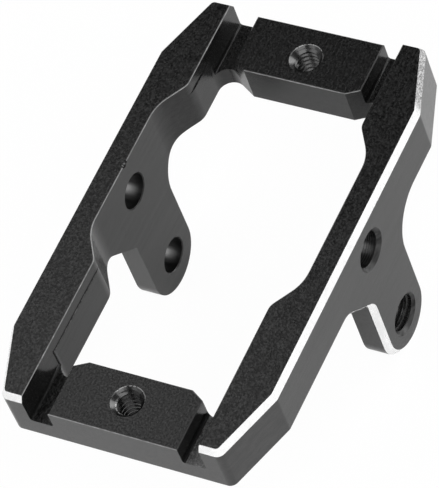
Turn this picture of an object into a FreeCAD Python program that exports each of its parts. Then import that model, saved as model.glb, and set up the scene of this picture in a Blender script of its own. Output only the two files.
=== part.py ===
import FreeCAD, Part
import os
import Sketcher

# Servo bracket, milled from one block of aluminium.
# X runs across the bracket, Y along its two side rails, Z up out of the screw pads.
# The origin is on the pads' top plane, midway between the two servo screws.

# Driving sizes in millimetres. Tapped holes are given by their tapping drills.
sizes = [
    ("screw_spacing", 28.0, "servo screw to servo screw"),
    ("end_margin", 2.4, "servo screw to the end face beside it"),
    ("opening_margin", 2.0, "servo screw to the end wall of the opening"),
    ("overall_width", 19.5, "outer side to outer side"),
    ("rail_height", 4.0, "rail top to underside"),
    ("end_width", 16.0, "width left at the ends by the tapered corners"),
    ("taper_length", 5.0, "length of each tapered corner"),
    ("corner_round", 0.6, "upright corners of the outside"),
    ("chamfer_depth", 0.3, "bright chamfer, across the rail top or the thickness of an ear"),
    ("chamfer_width", 0.5, "the same chamfer, down the outer side or along the near edge of an ear"),
    ("shoulder_chamfer", 0.38, "the same chamfer on the shoulder of an ear, along the rail"),
    ("tip_chamfer", 0.15, "the same chamfer at the tip of an ear, fading out to the far edge"),
    ("edge_break", 0.07, "small break on the inner edges and the pads"),
    ("recess_gap", 12.95, "between the wide parts of the rails, above the pads"),
    ("pad_drop", 1.0, "pads below the rail tops"),
    ("wall_step", 0.07, "ledge on the inner walls at the level of the pads"),
    ("waist_wall", 1.87, "rail thickness at the waist, and of the ears"),
    ("waist_centre", 2.03, "middle of the waist, from the middle of the screws"),
    ("waist_length", 10.25, "waist between the feet of its two slopes"),
    ("slope_run", 2.13, "length of a slope from thin rail to wide rail"),
    ("hollow_radius", 3.0, "inner curve where the waist begins"),
    ("crest_radius", 1.0, "outer curve where the rail is wide again, above the ledge"),
    ("lower_crest_radius", 1.3, "the same curve below the ledge"),
    ("end_flat", 7.6, "straight part of the end walls of the opening"),
    ("relief_rise", 1.47, "how far the corner slants run past the end wall"),
    ("relief_radius", 1.0, "cutter radius in the corners of the opening"),
    ("pad_width", 9.5, "screw pad, between its two grooves"),
    ("groove_drop", 1.5, "groove floor below the pads"),
    ("groove_round", 0.2, "corner radius on the groove floor"),
    ("pad_drill", 1.6, "tapping drill of the servo screws, M2"),
    ("pad_sink", 2.35, "countersink of the servo screw holes"),
    ("ear_centre", 2.69, "middle of the ears, from the middle of the screws"),
    ("ear_width", 5.22, "ear, near edge to far edge"),
    ("ear_drop", 14.4, "rail top to the tips of the ears"),
    ("haunch", 2.75, "slanted shoulder under the rail, equal both ways"),
    ("haunch_round", 1.5, "curve between underside and shoulder"),
    ("notch_round", 0.5, "curve between shoulder and ear"),
    ("notch_sweep", 1.5, "the same curve where the chamfer meets the outer side"),
    ("root_radius", 3.2, "curve between ear and underside on the far side"),
    ("upper_hole_place", 2.07, "upper ear hole, from the middle of the screws"),
    ("upper_hole_drop", 2.9, "upper ear hole below the rail top"),
    ("lower_hole_place", 2.92, "lower ear hole, from the middle of the screws"),
    ("lower_hole_rise", 2.65, "lower ear hole above the tip of the ear"),
    ("ear_drill", 2.5, "tapping drill of the ear holes, M3"),
    ("ear_sink", 3.05, "countersink of the ear holes, on the outside"),
    ("ear_hole_break", 0.07, "small break round the ear holes, on the inside"),
    ("dent_place", 2.27, "dent in the inner edge of the left rail, from the middle of the screws"),
    ("dent_radius", 0.3, "the same dent, round like a ball"),
    ("overrun", 1.0, "how far a cut runs out past the end faces"),
]

doc = FreeCAD.newDocument("servo_bracket")
sheet = doc.addObject("Spreadsheet::Sheet", "Dims")
for row, (alias, size, note) in enumerate(sizes, start=1):
    sheet.set(f"A{row}", note)
    sheet.set(f"B{row}", str(size))
    sheet.setAlias(f"B{row}", alias)
doc.recompute()


class Measure:
    """A length with the formula that gives it from the driving sizes."""

    def __init__(self, text, value):
        self.text = text
        self.value = value

    def __add__(self, other):
        return Measure(f"({self.text} + {other.text})", self.value + other.value)

    def __sub__(self, other):
        return Measure(f"({self.text} - {other.text})", self.value - other.value)

    def __mul__(self, other):
        return Measure(f"({self.text} * {other.text})", self.value * other.value)

    def __truediv__(self, other):
        return Measure(f"({self.text} / {other.text})", self.value / other.value)

    def __neg__(self):
        return Measure(f"(-1 * {self.text})", -self.value)

    def half(self):
        return Measure(f"({self.text} / 2)", self.value / 2)


def named(alias):
    return Measure(f"Dims.{alias}", float(sheet.get(alias)))


screw_half = named("screw_spacing").half()
half_length = screw_half + named("end_margin")
half_width = named("overall_width").half()
end_half = named("end_width").half()
rail_top = named("pad_drop")
underside = rail_top - named("rail_height")
recess_half = named("recess_gap").half()
opening_half = recess_half - named("wall_step")
waist_half = half_width - named("waist_wall")
opening_end = screw_half - named("opening_margin")
run_out = half_length + named("overrun")
pad_half = named("pad_width").half()
origin = rail_top - rail_top

bracket = doc.addObject("PartDesign::Body", "Bracket")
bracket.Label = "servo_bracket"


def origin_plane(role):
    return next(item for item in bracket.Origin.OriginFeatures if item.Role == role)


def new_sketch(name, role, offset=None):
    """A sketch on one of the middle planes, or lifted off it by a measure."""
    sketch = bracket.newObject("Sketcher::SketchObject", name)
    sketch.AttachmentSupport = [(origin_plane(role), "")]
    sketch.MapMode = "FlatFace"
    if offset is not None:
        sketch.setExpression("AttachmentOffset.Base.z", offset.text)
    return sketch


def join(sketch, kind, *parts):
    sketch.addConstraint(Sketcher.Constraint(kind, *parts))


def hold(sketch, kind, *parts):
    """A dimension whose last item is the measure that drives it."""
    index = sketch.addConstraint(Sketcher.Constraint(kind, *parts[:-1], parts[-1].value))
    sketch.setExpression(f"Constraints[{index}]", parts[-1].text)


def hold_point(sketch, item, end, across, along):
    hold(sketch, "DistanceX", -1, 1, item, end, across)
    hold(sketch, "DistanceY", -1, 1, item, end, along)


def spot(across, along):
    return FreeCAD.Vector(across.value, along.value, 0)


class Corner:
    """A corner of an outline, sharp or rounded to a radius."""

    def __init__(self, across, along, radius=None):
        self.across = across
        self.along = along
        self.radius = radius
        self.arrive = self.leave = spot(across, along)

    def trim(self, before, after):
        if self.radius is None:
            return self.arrive, self.leave, None
        back = (before - self.arrive).normalize()
        ahead = (after - self.arrive).normalize()
        middle = (back + ahead).normalize()
        sine = abs(middle.cross(back).z)
        centre = self.arrive + middle * (self.radius.value / sine)
        reach = self.radius.value * middle.dot(back) / sine
        begin = self.arrive + back * reach
        finish = self.arrive + ahead * reach
        return begin, finish, Part.Arc(begin, centre - middle * self.radius.value, finish)

    def place(self, sketch, before, after, arc):
        if self.radius is None:
            join(sketch, "Coincident", before, 2, after, 1)
            hold_point(sketch, after, 1, self.across, self.along)
            return
        hold(sketch, "Radius", arc, self.radius)
        point = sketch.addGeometry(Part.Point(self.arrive), True)
        join(sketch, "PointOnObject", point, 1, before)
        join(sketch, "PointOnObject", point, 1, after)
        hold_point(sketch, point, 1, self.across, self.along)


class RoundEnd:
    """A half circle joining two parallel sides, its centre at a given level."""

    def __init__(self, first, second, level):
        self.across = (first + second).half()
        self.along = level
        self.radius = (second - first).half()
        self.arrive = spot(first, level)
        self.leave = spot(second, level)

    def trim(self, before, after):
        outward = (self.arrive - before).normalize()
        tip = spot(self.across, self.along) + outward * self.radius.value
        return self.arrive, self.leave, Part.Arc(self.arrive, tip, self.leave)

    def place(self, sketch, before, after, arc):
        hold(sketch, "Radius", arc, self.radius)
        hold_point(sketch, arc, 3, self.across, self.along)


def draw_outline(sketch, corners):
    """A closed outline of straight lines, with tangent arcs in its rounded corners."""
    count = len(corners)
    trims = []
    for index, corner in enumerate(corners):
        trims.append(corner.trim(corners[index - 1].leave, corners[(index + 1) % count].arrive))
    lines = []
    for index in range(count):
        side = Part.LineSegment(trims[index][1], trims[(index + 1) % count][0])
        lines.append(sketch.addGeometry(side))
    for index, corner in enumerate(corners):
        begin, finish, curve = trims[index]
        before, after, arc = lines[index - 1], lines[index], None
        if curve is not None:
            arc = sketch.addGeometry(curve)
            first = 1 if sketch.getPoint(arc, 1).distanceToPoint(begin) < 1e-6 else 2
            join(sketch, "Tangent", before, 2, arc, first)
            join(sketch, "Tangent", after, 1, arc, 3 - first)
        corner.place(sketch, before, after, arc)


def both_sides(corners):
    """The outline of the right half, with its mirror image closing it on the left."""
    left = [Corner(-corner.across, corner.along, corner.radius) for corner in reversed(corners)]
    return corners + left


def complete(feature, grows):
    """Rebuild, and make sure that the feature really added or removed metal."""
    before = bracket_volume[-1]
    doc.recompute()
    bracket.Tip = feature
    doc.recompute()
    after = feature.Shape.Volume
    if (after - before) * (1 if grows else -1) <= 0:
        raise RuntimeError(f"{feature.Name} changed the volume from {before} to {after}")
    bracket_volume.append(after)


def pad(name, sketch, length, midplane=False):
    feature = bracket.newObject("PartDesign::Pad", name)
    feature.Profile = sketch
    if midplane:
        feature.SideType = "Symmetric"
    feature.setExpression("Length", length.text)
    feature.Refine = True
    complete(feature, grows=True)
    return feature


def pocket(name, sketch, depth=None):
    """Cut a sketch to a depth, or right through the bracket."""
    feature = bracket.newObject("PartDesign::Pocket", name)
    feature.Profile = sketch
    if depth is None:
        feature.Type = "ThroughAll"
    else:
        feature.setExpression("Length", depth.text)
    feature.Refine = True
    complete(feature, grows=False)
    return feature


def skin(name, inner, outer):
    """A thin layer between two outlines that have the same corners."""
    feature = bracket.newObject("PartDesign::AdditiveLoft", name)
    feature.Profile = inner
    feature.Sections = [outer]
    feature.Ruled = True
    complete(feature, grows=True)
    return feature


def mirror(name, original, role, grows=False):
    feature = bracket.newObject("PartDesign::Mirrored", name)
    feature.Originals = [original]
    feature.MirrorPlane = (origin_plane(role), [""])
    complete(feature, grows)
    return feature


def drill(name, sketch, bore, sink):
    """Through holes, countersunk where they start."""
    feature = bracket.newObject("PartDesign::Hole", name)
    feature.Profile = sketch
    doc.recompute()
    feature.setExpression("Diameter", bore.text)
    feature.DepthType = "ThroughAll"
    feature.HoleCutType = "Countersink"
    feature.setExpression("HoleCutDiameter", sink.text)
    feature.HoleCutCountersinkAngle = 90
    complete(feature, grows=False)
    return feature


def edge_names(chosen):
    return [f"Edge{n}" for n, edge in enumerate(bracket.Tip.Shape.Edges, start=1) if chosen(edge)]


def break_edges(name, size, chosen):
    """Break those edges of the bracket, as it is so far, that a test chooses."""
    base, picked = bracket.Tip, edge_names(chosen)
    feature = bracket.newObject("PartDesign::Chamfer", name)
    feature.Base = (base, picked)
    feature.setExpression("Size", size.text)
    complete(feature, grows=False)


def bright_chamfer(name, chosen, beside):
    """The steep chamfer along one smooth run of edges, wider on the outer side.

    One edge starts the run, and its other face is told from the side by its length along an axis.
    """
    base = bracket.Tip
    start = edge_names(chosen)[0]
    first_face = base.Shape.ancestorsOfType(base.Shape.getElement(start), Part.Face)[0]
    feature = bracket.newObject("PartDesign::Chamfer", name)
    feature.Base = (base, [start])
    feature.ChamferType = "Two distances"
    feature.setExpression("Size", named("chamfer_width").text)
    feature.setExpression("Size2", named("chamfer_depth").text)
    feature.FlipDirection = not beside(first_face)
    complete(feature, grows=False)


def near(value, measure):
    return abs(value - measure.value) < 1e-4


def lies_at(edge, axis, measure):
    """Whether all of an edge has the same place along one axis."""
    box = edge.BoundBox
    low = getattr(box, axis + "Min")
    high = getattr(box, axis + "Max")
    return near(low, measure) and near(high, measure)


bracket_volume = [0.0]

# Ears: one slab across the width, seen from the side, and a thin chamfered layer on each side.
ear_near = named("ear_centre") - named("ear_width").half()
ear_far = named("ear_centre") + named("ear_width").half()
ear_tip = rail_top - named("ear_drop")
shoulder = ear_near - named("haunch")
ear_tail = ear_far + named("root_radius") + named("overrun")
layer_start = half_width - named("chamfer_depth")


def ear_outline(name, offset, near, far, tip, foot, notch):
    """An ear from the side: its edges, its tip, and the foot and the lower curve of its shoulder."""
    sketch = new_sketch(name, "YZ_Plane", offset)
    draw_outline(sketch, [
        Corner(shoulder - named("haunch_round"), origin),
        Corner(shoulder - named("haunch_round"), underside),
        Corner(foot, underside, named("haunch_round")),
        Corner(near, underside - (near - foot), notch),
        RoundEnd(near, far, tip + (far - near).half()),
        Corner(far, underside, named("root_radius")),
        Corner(ear_tail, underside),
        Corner(ear_tail, origin),
    ])
    return sketch


full_ear = (ear_near, ear_far, ear_tip, shoulder, named("notch_round"))
chamfered_ear = (
    ear_near + named("chamfer_width"),
    ear_far,
    ear_tip + named("tip_chamfer"),
    shoulder + named("shoulder_chamfer"),
    named("notch_sweep"),
)
pad("Ears", ear_outline("EarSlab", None, *full_ear), layer_start + layer_start, midplane=True)
ear_inner = ear_outline("EarInner", layer_start, *full_ear)
ear_outer = ear_outline("EarOuter", half_width, *chamfered_ear)
right_layer = skin("RightEarLayer", ear_inner, ear_outer)
mirror("LeftEarLayer", right_layer, "YZ_Plane", grows=True)

# Frame: the plan outline with its four tapered corners.
taper_start = half_length - named("taper_length")
frame_sketch = new_sketch("FrameOutline", "XY_Plane", underside)
draw_outline(frame_sketch, both_sides([
    Corner(end_half, -half_length, named("corner_round")),
    Corner(half_width, -taper_start, named("corner_round")),
    Corner(half_width, taper_start, named("corner_round")),
    Corner(end_half, half_length, named("corner_round")),
]))
pad("Frame", frame_sketch, named("rail_height"))

bright_chamfer(
    "TopChamfer",
    lambda edge: lies_at(edge, "Z", rail_top),
    lambda face: face.BoundBox.ZLength > 0.5 * named("rail_height").value,
)

# Waist: where the rails are thin, from foot to foot and from crest to crest of its slopes.
foot_near = named("waist_centre") - named("waist_length").half()
foot_far = named("waist_centre") + named("waist_length").half()
crest_near = foot_near - named("slope_run")
crest_far = foot_far + named("slope_run")
slope_shift = named("wall_step") * named("slope_run") / (waist_half - recess_half)
hollow = named("hollow_radius")
crest = named("crest_radius")
lower_crest = named("lower_crest_radius")

# Opening for the servo body, right through and down between the ears.
# Its slopes run on past those of the recess, in the same planes, as far as the ledge is wide.
flat_half = named("end_flat").half()
relief_end = opening_end + named("relief_rise")
opening_sketch = new_sketch("OpeningOutline", "XY_Plane", rail_top)
draw_outline(opening_sketch, both_sides([
    Corner(flat_half, -opening_end),
    Corner(opening_half, -relief_end, named("relief_radius")),
    Corner(opening_half, crest_near - slope_shift, lower_crest),
    Corner(waist_half, foot_near, hollow),
    Corner(waist_half, foot_far, hollow),
    Corner(opening_half, crest_far + slope_shift, lower_crest),
    Corner(opening_half, relief_end, named("relief_radius")),
    Corner(flat_half, opening_end),
]))
pocket("Opening", opening_sketch)

# Recess between the rail tops, run out through both ends and down to the pads.
recess_sketch = new_sketch("RecessOutline", "XY_Plane", rail_top)
draw_outline(recess_sketch, both_sides([
    Corner(recess_half, -run_out),
    Corner(recess_half, crest_near, crest),
    Corner(waist_half, foot_near, hollow),
    Corner(waist_half, foot_far, hollow),
    Corner(recess_half, crest_far, crest),
    Corner(recess_half, run_out),
]))
pocket("Recess", recess_sketch, named("pad_drop"))

# Grooves beside the pads, seen from the near end, and the same at the far end.
groove_floor = -named("groove_drop")
groove_sketch = new_sketch("GrooveSections", "XZ_Plane", run_out)
for flip in (lambda measure: measure, lambda measure: -measure):
    draw_outline(groove_sketch, [
        Corner(flip(pad_half), rail_top),
        Corner(flip(pad_half), groove_floor, named("groove_round")),
        Corner(flip(recess_half), groove_floor, named("groove_round")),
        Corner(flip(recess_half), rail_top),
    ])
near_grooves = pocket("NearGrooves", groove_sketch, run_out - opening_end)
mirror("FarGrooves", near_grooves, "XZ_Plane")


def meets_wall(edge):
    """Whether one of the two faces at an edge stands upright."""
    faces = bracket.Tip.Shape.ancestorsOfType(edge, Part.Face)
    return any(abs(face.normalAt(0, 0).z) < 1e-4 for face in faces)


def on_small_breaks(edge):
    """Inner edges of the rail tops, and the edges of the pads."""
    box = edge.BoundBox
    within_pad = max(-box.XMin, box.XMax) < pad_half.value + 1e-4
    on_rail = lies_at(edge, "Z", rail_top) and meets_wall(edge)
    return on_rail or (lies_at(edge, "Z", origin) and within_pad)


break_edges("EdgeBreaks", named("edge_break"), on_small_breaks)

# Servo screw holes, one through each pad.
screw_sketch = new_sketch("PadHoles", "XY_Plane")
for place in (-screw_half, screw_half):
    circle = screw_sketch.addGeometry(Part.Circle(spot(origin, place), FreeCAD.Vector(0, 0, 1), 1))
    hold(screw_sketch, "Diameter", circle, named("pad_sink"))
    hold_point(screw_sketch, circle, 3, origin, place)
drill("ScrewHoles", screw_sketch, named("pad_drill"), named("pad_sink"))

# Ear holes, drilled from the right side and again from the left.
ear_holes = [
    (named("upper_hole_place"), rail_top - named("upper_hole_drop")),
    (named("lower_hole_place"), ear_tip + named("lower_hole_rise")),
]
ear_hole_sketch = new_sketch("EarHoles", "YZ_Plane", half_width)
for place, level in ear_holes:
    circle = ear_hole_sketch.addGeometry(Part.Circle(spot(place, level), FreeCAD.Vector(0, 0, 1), 1))
    hold(ear_hole_sketch, "Diameter", circle, named("ear_sink"))
    hold_point(ear_hole_sketch, circle, 3, place, level)
right_holes = drill("RightEarHoles", ear_hole_sketch, named("ear_drill"), named("ear_sink"))
mirror("LeftEarHoles", right_holes, "YZ_Plane")


def on_inner_hole_edge(edge):
    inside = lies_at(edge, "X", waist_half) or lies_at(edge, "X", -waist_half)
    return inside and isinstance(edge.Curve, Part.Circle) and near(edge.Curve.Radius * 2, named("ear_drill"))


break_edges("InnerHoleBreaks", named("ear_hole_break"), on_inner_hole_edge)

# Dent in the inner top edge of the left rail, at the waist.
dent = bracket.newObject("PartDesign::SubtractiveSphere", "Dent")
dent.setExpression("Radius", named("dent_radius").text)
dent.setExpression("Placement.Base.x", (-waist_half).text)
dent.setExpression("Placement.Base.y", named("dent_place").text)
dent.setExpression("Placement.Base.z", rail_top.text)
complete(dent, grows=False)

for item in doc.Objects:
    if "Invalid" in item.State or "Error" in item.State:
        raise RuntimeError(f"{item.Name} did not rebuild: {item.State}")
if bracket.Shape.isNull() or not bracket.Shape.isValid() or len(bracket.Shape.Solids) != 1:
    raise RuntimeError("the bracket is not one valid solid")

os.makedirs("parts", exist_ok=True)
bracket.Shape.exportStep("parts/servo_bracket.step")
box = bracket.Shape.optimalBoundingBox()
print(f"servo_bracket {box.XLength:.3f} x {box.YLength:.3f} x {box.ZLength:.3f} mm")
print(f"volume {bracket.Shape.Volume:.1f} mm3")
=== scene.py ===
import bpy
import math
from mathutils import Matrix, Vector


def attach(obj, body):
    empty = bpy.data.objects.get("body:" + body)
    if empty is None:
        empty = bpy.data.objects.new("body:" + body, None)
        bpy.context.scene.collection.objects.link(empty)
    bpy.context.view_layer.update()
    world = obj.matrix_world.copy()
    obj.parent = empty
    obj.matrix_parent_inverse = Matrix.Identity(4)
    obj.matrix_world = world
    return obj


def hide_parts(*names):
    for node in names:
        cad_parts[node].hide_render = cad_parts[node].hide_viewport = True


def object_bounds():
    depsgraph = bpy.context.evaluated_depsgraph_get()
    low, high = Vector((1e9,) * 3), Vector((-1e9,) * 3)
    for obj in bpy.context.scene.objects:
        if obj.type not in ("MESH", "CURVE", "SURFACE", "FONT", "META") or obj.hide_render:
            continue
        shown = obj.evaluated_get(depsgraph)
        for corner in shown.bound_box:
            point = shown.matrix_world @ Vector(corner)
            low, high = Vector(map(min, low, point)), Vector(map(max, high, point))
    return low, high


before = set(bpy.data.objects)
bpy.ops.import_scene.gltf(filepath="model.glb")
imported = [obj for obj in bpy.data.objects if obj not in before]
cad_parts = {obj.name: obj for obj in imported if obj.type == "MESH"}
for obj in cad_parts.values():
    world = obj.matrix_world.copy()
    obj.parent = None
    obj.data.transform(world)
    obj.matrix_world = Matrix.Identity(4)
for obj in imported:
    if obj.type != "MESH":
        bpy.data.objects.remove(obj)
cadBox = [list(corner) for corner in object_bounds()]
mm = 0.001
print("frame loaded:", sorted(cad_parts))

# where the holes lie on either side of the middle, in millimetres
holes = {"padY": 14, "padZ": -1.5, "earX": 8.8, "earYZ": [(2.07, -1.9), (2.92, -10.75)]}


def deselectAll():
    if bpy.context.object and bpy.context.object.mode != "OBJECT":
        bpy.ops.object.mode_set(mode="OBJECT")
    bpy.ops.object.select_all(action="DESELECT")


def pick(obj):
    deselectAll()
    obj.select_set(True)
    bpy.context.view_layer.objects.active = obj


def useModifier(obj, kind, **settings):
    pick(obj)
    step = obj.modifiers.new(kind.lower(), kind)
    for name, value in settings.items():
        setattr(step, name, value)
    bpy.ops.object.modifier_apply(modifier=step.name)


def settle(obj):
    # the place goes into the mesh, and the object stays at the origin
    pick(obj)
    bpy.ops.object.transform_apply(location=True, rotation=True, scale=True)


def copyOf(obj, name):
    twin = obj.copy()
    twin.data = obj.data.copy()
    twin.name = name
    twin.data.name = name
    bpy.context.scene.collection.objects.link(twin)
    return twin


def grey(shade):
    return (shade, shade, shade, 1)


class Wire:
    # one socket of a node tree: a sum on it adds the nodes that work the sum out
    def __init__(self, tree, socket=None):
        self.tree = tree
        self.socket = socket

    def node(self, kind, settings=None, inputs=None, output=0):
        made = self.tree.nodes.new(kind)
        for name, value in (settings or {}).items():
            setattr(made, name, value)
        for key, value in (inputs or {}).items():
            if isinstance(value, Wire):
                self.tree.links.new(value.socket, made.inputs[key])
            else:
                made.inputs[key].default_value = value
        return Wire(self.tree, made.outputs[output])

    def sums(self, operation, *values):
        return self.node("ShaderNodeMath", {"operation": operation}, dict(enumerate(values)))

    def __add__(self, other):
        return self.sums("ADD", self, other)

    def __radd__(self, other):
        return self.sums("ADD", other, self)

    def __sub__(self, other):
        return self.sums("SUBTRACT", self, other)

    def __rsub__(self, other):
        return self.sums("SUBTRACT", other, self)

    def __mul__(self, other):
        return self.sums("MULTIPLY", self, other)

    def __rmul__(self, other):
        return self.sums("MULTIPLY", other, self)

    def between(self, low, high):
        # 0 up to low, 1 from high
        ends = {"Value": self, "From Min": low, "From Max": high}
        return self.node("ShaderNodeMapRange", {"clamp": True}, ends)

    def stretched(self, x, y, z):
        return self.node("ShaderNodeVectorMath", {"operation": "MULTIPLY"}, {0: self, 1: (x, y, z)})

    def noise(self, scale, detail=2, roughness=0.5):
        look = {"Vector": self, "Scale": scale, "Detail": detail, "Roughness": roughness}
        return self.node("ShaderNodeTexNoise", {}, look)

    def part(self, axis):
        return self.node("ShaderNodeSeparateXYZ", {}, {0: self}, output="XYZ".index(axis))

    def colour(self, low, high):
        # the colour low where this is 0, and high where it is 1
        ends = {"Factor": self, 6: low, 7: high}
        return self.node("ShaderNodeMix", {"data_type": "RGBA"}, ends, output=2)

    def relief(self, strength, depth):
        return self.node("ShaderNodeBump", {}, {"Height": self, "Strength": strength, "Distance": depth})

    def into(self, shader, name):
        self.tree.links.new(self.socket, shader.inputs[name])


def newMaterial(name):
    material = bpy.data.materials.new(name)
    material.use_nodes = True
    shader = material.node_tree.nodes["Principled BSDF"]
    place = Wire(material.node_tree).node("ShaderNodeTexCoord", output="Object")
    return material, shader, place


anodised = {
    "dark": 0.0, "light": 0.014, "shine": 1.6,                      # the black skin
    "grain": 7500, "lines": 6000, "cloud": 300, "strokes": 3500,    # cells per metre
    "grainRange": (0.36, 0.66), "grainShare": 0.7, "lineStretch": 0.3, "strokeStretch": 0.03,
    "topContrast": 1.2, "sideContrast": 0.12, "cloudContrast": 0.25, "tone": 0.45,
    "topRelief": 0.7, "sideRelief": 0.05, "depth": 0.02 * mm,
    "roughness": 0.2, "topRoughness": 0.06, "sideRoughness": 0.05,
    "pits": 0.5, "lineDepth": 0.15,                 # how much less light a pit or a cutter line mirrors
}
# painted highlights round the pad holes, where their edges catch the light
padRingHighlights = {
    "rim": 1.16 * mm, "rimWidth": 0.04 * mm, "rimFrom": (-0.2 * mm, 0.5 * mm),
    "burr": 0.86 * mm, "burrWidth": 0.07 * mm, "burrFrom": (0.6 * mm, mm), "bright": 0.3,
}


def ringAt(reach, radius, width):
    offset = (reach - radius) * (1 / width)
    return (1 - offset.sums("ABSOLUTE", offset)).between(0, 1)


def paintedRingsRoundPads(place, specks):
    # painted highlight: a fine bright line round the far side of each countersink, and a bare-metal burr in
    # the near hole, painted bright only on its near left side
    x, y = place.part("X"), place.part("Y")
    beyond = y.sums("ABSOLUTE", y) - holes["padY"] * mm
    beyond = beyond * y.sums("SIGN", y)
    reach = x.sums("SQRT", x * x + beyond * beyond)
    rim = ringAt(reach, padRingHighlights["rim"], padRingHighlights["rimWidth"]) * beyond.between(*padRingHighlights["rimFrom"])
    burr = ringAt(reach, padRingHighlights["burr"], padRingHighlights["burrWidth"])
    burr = burr * (0 - x - beyond).between(*padRingHighlights["burrFrom"]) * (1 - y.between(-mm, mm))
    return (rim + burr) * specks.between(0.1, 0.5)


def makeAnodised(name, look):
    material, shader, place = newMaterial(name)
    facing = place.node("ShaderNodeNewGeometry", output="Normal")
    onTop = facing.part("Z").between(0.9, 0.99)        # 1 on the milled tops, 0 on the smooth sides
    specks = place.noise(look["grain"], 2, 0.6).between(*look["grainRange"])
    milled = place.stretched(1, look["lineStretch"], 1).noise(look["lines"]).between(*look["grainRange"])
    cloud = place.noise(look["cloud"])
    grain = specks * look["grainShare"] + milled * (1 - look["grainShare"])
    tone = (grain - 0.5) * (look["sideContrast"] + onTop * look["topContrast"])
    tone = tone + (cloud - 0.5) * look["cloudContrast"] + look["tone"]
    skin = tone.between(0, 1).colour(grey(look["dark"]), grey(look["light"]))
    # the painted highlights lie over the black skin in light grey
    rings = paintedRingsRoundPads(place, specks)
    rings.between(0, 1).colour(skin, grey(padRingHighlights["bright"])).into(shader, "Base Color")
    roughness = milled * (onTop * look["topRoughness"] + look["sideRoughness"]) + look["roughness"]
    roughness.into(shader, "Roughness")
    # pits in the tops and fine cutter lines along the walls mirror less of the light
    strokes = place.stretched(1, look["strokeStretch"], 1).noise(look["strokes"], 1).between(0.35, 0.7)
    pits = (1 - specks) * onTop * look["pits"]
    (pits + strokes * (1 - onTop) * look["lineDepth"]).into(shader, "Metallic")
    height = grain * (onTop * (look["topRelief"] - look["sideRelief"]) + look["sideRelief"])
    height.relief(1.0, look["depth"]).into(shader, "Normal")
    shader.inputs["IOR"].default_value = look["shine"]
    return material


brightCut = {
    "skin": 0.03, "light": 0.99, "metal": 0.75, "roughness": 0.2,
    "streaks": 2500, "streakStretch": 0.25, "streakShare": 0.1, "relief": 0.1, "depth": 0.01 * mm,
    "fadeAlong": (11.2 * mm, 12.2 * mm),               # in y, towards the far right corner
    "speckle": 9000, "speckleFade": 0.5, "evenFade": 0.35,
}


def makeBrightCut(name, look):
    material, shader, place = newMaterial(name)
    streaks = place.stretched(1, 1, look["streakStretch"]).noise(look["streaks"], 3)
    shade = streaks.between(0.3, 0.7) * look["streakShare"]
    # the cut is shallow on the far right corner, where the black skin shows through in specks
    fade = place.part("Y").between(*look["fadeAlong"]) * place.part("X").between(0, mm)
    speckle = place.noise(look["speckle"], 3).between(0.35, 0.6)
    bright = 1 - fade * (speckle * look["speckleFade"] + look["evenFade"])
    tone = shade + (1 - look["streakShare"]) * bright
    tone.between(0, 1).colour(grey(look["skin"]), grey(look["light"])).into(shader, "Base Color")
    (shade + look["roughness"]).into(shader, "Roughness")
    streaks.relief(look["relief"], look["depth"]).into(shader, "Normal")
    shader.inputs["Metallic"].default_value = look["metal"]
    return material


# a break lies 0 to 0.1 mm under a whole millimetre, and is painted light grey only along its middle: part
# wear, part painted highlight
wornEdgeAndHighlight = {
    "skin": 0.012, "dark": 0.13, "light": 0.3, "wear": 2600, "roughness": 0.3, "roughnessSpread": 0.2,
    "relief": 0.2, "depth": 0.01 * mm, "lineStart": (0.91, 0.93), "lineEnd": (0.96, 0.98),
}


def makeWornEdgeAndHighlight(name, look):
    material, shader, place = newMaterial(name)
    wear = place.noise(look["wear"], 4, 0.6)
    wornAndLit = wear.between(0.35, 0.7).colour(grey(look["dark"]), grey(look["light"]))
    height = place.part("Z") * (1 / mm)
    height = height.sums("FRACT", height)
    line = height.between(*look["lineStart"]) * (1 - height.between(*look["lineEnd"]))
    line.colour(grey(look["skin"]), wornAndLit).into(shader, "Base Color")
    (wear * look["roughnessSpread"] + look["roughness"]).into(shader, "Roughness")
    wear.relief(look["relief"], look["depth"]).into(shader, "Normal")
    return material


boreMarks = {
    "dark": 0.004, "light": 0.02, "roughness": 0.22, "roughnessSpread": 0.1, "shine": 2.2, "paintedShade": 0.88,
    "rings": 0.157 * mm, "wobble": 1500, "relief": 0.8, "depth": 0.01 * mm,
    "lowFrom": (0.55, 0.75), "lowTo": (0.93, 0.99), "nearFrom": (0.05, 0.3), "deepTo": (-0.2 * mm, 0.6 * mm),
}


def makeBore(name, look):
    # an ear hole, with fine drill rings in the right ear
    material, shader, place = newMaterial(name)
    across = place.part("X")
    wobble = place.noise(look["wobble"]) * 2
    rings = across.sums("SINE", across * (2 * math.pi / look["rings"]) + wobble) * across.between(0, mm)
    rings.between(-1, 1).colour(grey(look["dark"]), grey(look["light"])).into(shader, "Base Color")
    (wobble * look["roughnessSpread"] + look["roughness"]).into(shader, "Roughness")
    rings.relief(look["relief"], look["depth"]).into(shader, "Normal")
    # painted shade: the wall mirrors hardly any light, but for a patch on its low side deep in the hole
    facing = place.node("ShaderNodeNewGeometry", output="Normal")
    low = facing.part("Z")
    bright = low.between(*look["lowFrom"]) * (1 - low.between(*look["lowTo"]))
    bright = bright * (0 - facing.part("Y")).between(*look["nearFrom"])
    outwards = across - across.sums("SIGN", across) * (holes["earX"] * mm)
    bright = bright * (1 - outwards.between(*look["deepTo"])) * (1 - rings.between(-0.3, 1) * 0.5)
    (look["paintedShade"] - bright * look["paintedShade"]).into(shader, "Metallic")
    shader.inputs["IOR"].default_value = look["shine"]
    return material


threadCut = {
    "dark": 0.002, "light": 0.012, "shine": 1.6, "roughness": 0.17, "roughnessSpread": 0.2,
    "grit": 9000, "relief": 0.2, "depth": 0.01 * mm, "paintedShade": 0.8,
}


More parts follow.
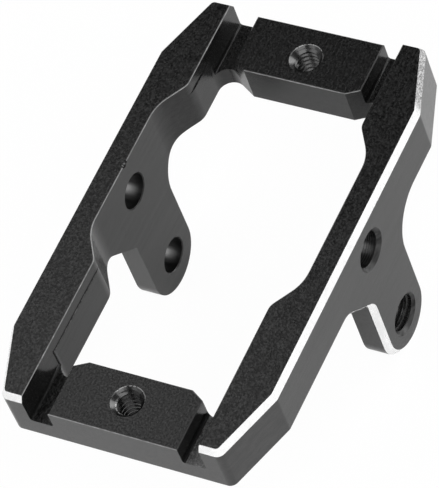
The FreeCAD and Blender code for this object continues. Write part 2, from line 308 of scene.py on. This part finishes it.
def makeThread(name, look):
    material, shader, place = newMaterial(name)
    grit = place.noise(look["grit"], 2)
    grit.between(0.35, 0.65).colour(grey(look["dark"]), grey(look["light"])).into(shader, "Base Color")
    (grit * look["roughnessSpread"] + look["roughness"]).into(shader, "Roughness")
    grit.relief(look["relief"], look["depth"]).into(shader, "Normal")
    # painted shade: the near thread mirrors less light, as the near hole lies in the shade of its own wall;
    # the far one is left as it is
    ((1 - place.part("Y").between(-mm, mm)) * look["paintedShade"]).into(shader, "Metallic")
    shader.inputs["IOR"].default_value = look["shine"]
    return material


blackFinish = makeAnodised("black_anodised", anodised)
chamferFinish = makeBrightCut("bright_cut_chamfer", brightCut)
edgeWearAndHighlight = makeWornEdgeAndHighlight("worn_edge_and_highlight", wornEdgeAndHighlight)
boreFinish = makeBore("bore_wall", boreMarks)
coneFinish = makeAnodised("countersink", dict(anodised, roughness=0.42, lineDepth=0.6))
threadFinish = makeThread("anodised_thread", threadCut)
# lighter copies of the black skin: painted light for faces that fall in shade
paintedLightEdge = makeAnodised("painted_light_edge", dict(anodised, dark=0.03, light=0.06))
paintedLightLedge = makeAnodised("painted_light_ledge", dict(anodised, dark=0.08, light=0.14))
print("finishes made")

# bore is the drilled hole and crest the bottom of the cut thread, in millimetres
padThread = {"bore": 1.6, "crest": 2.0, "pitch": 0.4, "turns": 10, "steps": 30, "turn": (0, 0, 0.4)}
earThread = {"bore": 2.5, "crest": 3.0, "pitch": 0.5, "turns": 6, "steps": 34, "turn": (0, math.pi / 2, 0)}
# the V is 7/8 of the pitch wide at the wall and 1/8 at its crest, and starts a little inside the wall
vShape = {"inside": 0.03, "thickness": 0.1, "wide": 7 / 8, "narrowed": 1 / 7}


def makeTap(name, size):
    # a V-shaped section, screwed up along Z into the shape that a tap takes out of the wall
    root = size["bore"] / 2 - vShape["inside"]
    core = root - vShape["thickness"]
    middle = (core + root) / 2
    pitch = size["pitch"]
    deselectAll()
    bpy.ops.mesh.primitive_plane_add(size=1, location=(middle, 0, 0), rotation=(math.pi / 2, 0, 0))
    tap = bpy.context.object
    tap.name = name
    tap.scale = (root - core, pitch * vShape["wide"], 1)
    settle(tap)
    bpy.ops.object.mode_set(mode="EDIT")
    bpy.ops.mesh.select_mode(type="EDGE")
    bpy.ops.mesh.select_all(action="DESELECT")
    bpy.ops.object.mode_set(mode="OBJECT")
    for edge in tap.data.edges:
        edge.select = all(tap.data.vertices[i].co.x > middle for i in edge.vertices)
    bpy.ops.object.mode_set(mode="EDIT")
    bpy.ops.mesh.extrude_edges_move(TRANSFORM_OT_translate={"value": (size["crest"] / 2 - root, 0, 0)})
    bpy.ops.transform.resize(value=(1, 1, vShape["narrowed"]))
    bpy.ops.mesh.select_all(action="SELECT")
    bpy.ops.mesh.dissolve_faces()
    bpy.ops.object.mode_set(mode="OBJECT")
    useModifier(
        tap, "SCREW", axis="Z", angle=2 * math.pi, screw_offset=pitch, iterations=size["turns"],
        steps=size["steps"], render_steps=size["steps"], use_smooth_shade=False,
    )
    bpy.ops.object.mode_set(mode="EDIT")
    bpy.ops.mesh.select_all(action="SELECT")
    bpy.ops.mesh.fill_holes(sides=8)
    bpy.ops.mesh.select_all(action="SELECT")
    bpy.ops.mesh.normals_make_consistent(inside=False)
    bpy.ops.object.mode_set(mode="OBJECT")
    tap.location = (0, 0, -pitch * size["turns"] / 2)
    settle(tap)
    tap.data.materials.append(threadFinish)
    return tap


def placeTap(tap, name, centre, turn):
    twin = copyOf(tap, name)
    twin.rotation_euler = turn
    twin.location = centre
    settle(twin)
    return twin


padTap = makeTap("pad_tap", padThread)
earTap = makeTap("ear_tap", earThread)
padCentres = [(0, end * holes["padY"], holes["padZ"]) for end in (-1, 1)]
taps = [placeTap(padTap, "pad_hole_tap", centre, padThread["turn"]) for centre in padCentres]
# of the ear holes, only the lower one in the right ear is tapped
taps.append(placeTap(earTap, "ear_hole_tap", (holes["earX"], *holes["earYZ"][1]), earThread["turn"]))

bracketLook = {"merge": 1e-7, "flatAngle": 0.1, "smoothAngle": 24, "normalWeight": 50}

bracket = copyOf(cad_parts["servo_bracket"], "bracket")
bracket.parent = None
for key in list(bracket.keys()):
    del bracket[key]
bracket.data.materials.clear()
bracket.data.materials.append(blackFinish)
pick(bracket)
bpy.ops.mesh.customdata_custom_splitnormals_clear()
bpy.ops.object.mode_set(mode="EDIT")
bpy.ops.mesh.select_all(action="SELECT")
bpy.ops.mesh.remove_doubles(threshold=bracketLook["merge"])
bpy.ops.mesh.normals_make_consistent(inside=False)
bpy.ops.mesh.dissolve_limited(angle_limit=math.radians(bracketLook["flatAngle"]))
bpy.ops.object.mode_set(mode="OBJECT")
bracket.scale = (1 / mm, 1 / mm, 1 / mm)               # the cut is exact at this size
settle(bracket)
print("bracket copied:", len(bracket.data.polygons), "faces")

cut = {"operation": "DIFFERENCE", "solver": "EXACT", "material_mode": "TRANSFER"}
for tap in taps:
    useModifier(bracket, "BOOLEAN", object=tap, **cut)
for tap in taps + [padTap, earTap]:
    bpy.data.objects.remove(tap)
print("threads cut:", len(bracket.data.polygons), "faces")

for finish in (chamferFinish, edgeWearAndHighlight, paintedLightEdge, paintedLightLedge, boreFinish, coneFinish):
    bracket.data.materials.append(finish)
slots = {material: place for place, material in enumerate(bracket.data.materials)}

# where the finishes lie: places in millimetres, and slopes as the size of a part of the face's normal
railChamfer = {"above": 0.4, "slope": (0.48, 0.56), "sides": 9.2, "ends": 11}
earChamfer = {"x": (9.46, 9.74), "below": -3.02, "slope": (0.15, 0.97)}
breaks = {"slope": (0.64, 0.76), "rails": 0.9, "pads": (-0.08, 0), "padRim": 1.3, "dullFrom": 0.6}
earHole = {"inside": 7.8, "bore": 1.3, "cone": 1.7, "coneSlope": (0.1, 0.8), "tappedBelow": -6}
ledge = {"x": -6, "level": 0.01, "step": (-6.6, -6.3), "stepHeight": (-1.5, 0)}
earEdge = {"x": -8, "below": -5.9}
groove = {"x": (5, 6.6), "y": -12, "z": (-1.6, -0.3)}
flat = 0.1                                             # the most a flat face leans out of true


def isBetween(value, limits):
    return limits[0] < value < limits[1]


def besideEarHole(y, z, reach):
    return any(math.hypot(y - holeY, z - holeZ) < reach for holeY, holeZ in holes["earYZ"])


def isBreak(face):
    # the small breaks that face the front and the right, which alone get the painted highlight line
    x, y, z = face.center
    if not isBetween(abs(face.normal.z), breaks["slope"]) or face.normal.x < -0.2 or face.normal.y > 0.5:
        return False
    offHole = math.hypot(x, abs(y) - holes["padY"]) > breaks["padRim"]
    return z > breaks["rails"] or isBetween(z, breaks["pads"]) and offHole


def finishFor(face):
    # nothing for a face that keeps its black skin or its thread
    x, y, z = face.center
    side, up = abs(face.normal.x), abs(face.normal.z)
    isOuter = abs(x) > railChamfer["sides"] or abs(y) > railChamfer["ends"]
    if isOuter and z > railChamfer["above"] and isBetween(up, railChamfer["slope"]):
        return chamferFinish
    inCone = besideEarHole(y, z, earHole["cone"])
    isEarSide = isBetween(abs(x), earChamfer["x"]) and z < earChamfer["below"]
    if isEarSide and isBetween(side, earChamfer["slope"]) and not inCone:
        return chamferFinish
    if isBreak(face):
        # painted light: low breaks facing right get a lighter grey copy of the skin in place of the bright
        # line
        return paintedLightEdge if z < 0 and face.normal.x > breaks["dullFrom"] else edgeWearAndHighlight
    if abs(x) > earHole["inside"]:
        isTapped = x > 0 and z < earHole["tappedBelow"]
        if side < flat and besideEarHole(y, z, earHole["bore"]) and not isTapped:
            return boreFinish
        if inCone and isBetween(side, earHole["coneSlope"]) and face.material_index == slots[blackFinish]:
            return coneFinish
    # painted light: the ledge in the near left wall, with the step where it ends, gets a lighter copy of the
    # skin, as it lies in shade
    if x < ledge["x"] and y < 0 and abs(z) < ledge["level"] and up > 1 - flat:
        return paintedLightLedge
    isStep = isBetween(x, ledge["step"]) and isBetween(z, ledge["stepHeight"])
    if isStep and face.normal.y < flat - 1:
        return paintedLightLedge
    # painted light: the near edge of the left ear and the groove beside the near pad get lighter copies of
    # the skin
    if x < earEdge["x"] and z < earEdge["below"] and side < flat and face.normal.y < 0:
        return paintedLightEdge
    if isBetween(x, groove["x"]) and y < groove["y"] and isBetween(z, groove["z"]):
        return paintedLightLedge
    return None


for face in bracket.data.polygons:
    finish = finishFor(face)
    if finish:
        face.material_index = slots[finish]

bracket.scale = (mm, mm, mm)
settle(bracket)
bpy.ops.object.shade_smooth_by_angle(angle=math.radians(bracketLook["smoothAngle"]))
useModifier(bracket, "WEIGHTED_NORMAL", keep_sharp=True, weight=bracketLook["normalWeight"])
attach(bracket, "root")
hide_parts("servo_bracket")
print("bracket dressed")

paperLook = {
    "radius": 0.9, "drop": 0.01 * mm, "tone": 0.9, "drift": 0.01, "cloud": 400,
    "roughness": 0.9, "mirror": 0.1, "shadow": 0.04,
}

deselectAll()
floorPlace = (0, 0, cadBox[0][2] - paperLook["drop"])
bpy.ops.mesh.primitive_circle_add(
    vertices=64, radius=paperLook["radius"], fill_type="NGON", location=floorPlace,
)
floor = bpy.context.object
floor.name = "floor"
settle(floor)
paper, paperShader, paperPlace = newMaterial("pale_floor")
paleEnds = [grey(paperLook["tone"] + drift) for drift in (-paperLook["drift"], paperLook["drift"])]
paperPlace.noise(paperLook["cloud"]).colour(*paleEnds).into(paperShader, "Base Color")
paperShader.inputs["Roughness"].default_value = paperLook["roughness"]
paperShader.inputs["Specular IOR Level"].default_value = paperLook["mirror"]
# the camera sees the paper white, with a little of the shadow on it
seenByCamera = paperPlace.node("ShaderNodeLightPath", output="Is Camera Ray")
glow = paperPlace.node("ShaderNodeEmission", {}, {"Color": grey(1), "Strength": 1.0})
lit = Wire(paperPlace.tree, paperShader.outputs[0])
mixed = {0: seenByCamera * (1 - paperLook["shadow"]), 1: lit, 2: glow}
surface = paperPlace.node("ShaderNodeMixShader", {}, mixed)
surface.into(paper.node_tree.nodes["Material Output"], "Surface")
floor.data.materials.append(paper)

# the room is pale around the bracket and dark overhead, and white to the camera
room = {"around": 1.03, "overhead": 0.1, "band": (0.2, 0.5)}
world = bpy.data.worlds.new("studio")
bpy.context.scene.world = world
world.use_nodes = True
direction = Wire(world.node_tree).node("ShaderNodeTexCoord", output="Generated")
sky = direction.part("Z").between(*room["band"]).colour(grey(room["around"]), grey(room["overhead"]))
seen = direction.node("ShaderNodeLightPath", output="Is Camera Ray")
seen.colour(sky, grey(1)).into(world.node_tree.nodes["Background"], "Color")

lamps = {
    "key": {"place": (0.28, -0.20, 0.36), "size": 0.45, "power": 1.6},
    "fill": {"place": (0.20, 0.40, 0.20), "size": 0.4, "power": 1.6},
    "side_box": {"place": (-0.215, -0.30, 0.33), "size": 0.35, "power": 0.66},
    "near_panel": {"place": (-0.033, 0.005, 0.062), "size": 0.06, "power": 0.0082, "aim": (0, -0.014, 0)},
}


def addLamp(name, place, size, power, aim=(0, 0, 0)):
    lamp = bpy.data.lights.new(name, "AREA")
    lamp.shape = "DISK"
    lamp.size = size
    lamp.energy = power
    holder = bpy.data.objects.new(name, lamp)
    holder.visible_camera = False
    bpy.context.scene.collection.objects.link(holder)
    holder.location = place
    holder.rotation_euler = (Vector(aim) - Vector(place)).to_track_quat("-Z", "Y").to_euler()


for name, look in lamps.items():
    addLamp(name, **look)

view = {
    "place": (0.1213445, -0.1241682, 0.2233908), "turn": (0.614811, 0.247729, 0.442066),
    "lens": 320.503, "sensor": 36, "clip": (0.01, 10),
}
cameraData = bpy.data.cameras.new("camera")
cameraData.sensor_width = view["sensor"]
cameraData.lens = view["lens"]
cameraData.clip_start, cameraData.clip_end = view["clip"]
camera = bpy.data.objects.new("camera", cameraData)
bpy.context.scene.collection.objects.link(camera)
camera.location = view["place"]
camera.rotation_euler = view["turn"]
bpy.context.scene.camera = camera
bpy.context.scene.view_settings.view_transform = "Standard"
print("floor, light and camera placed")
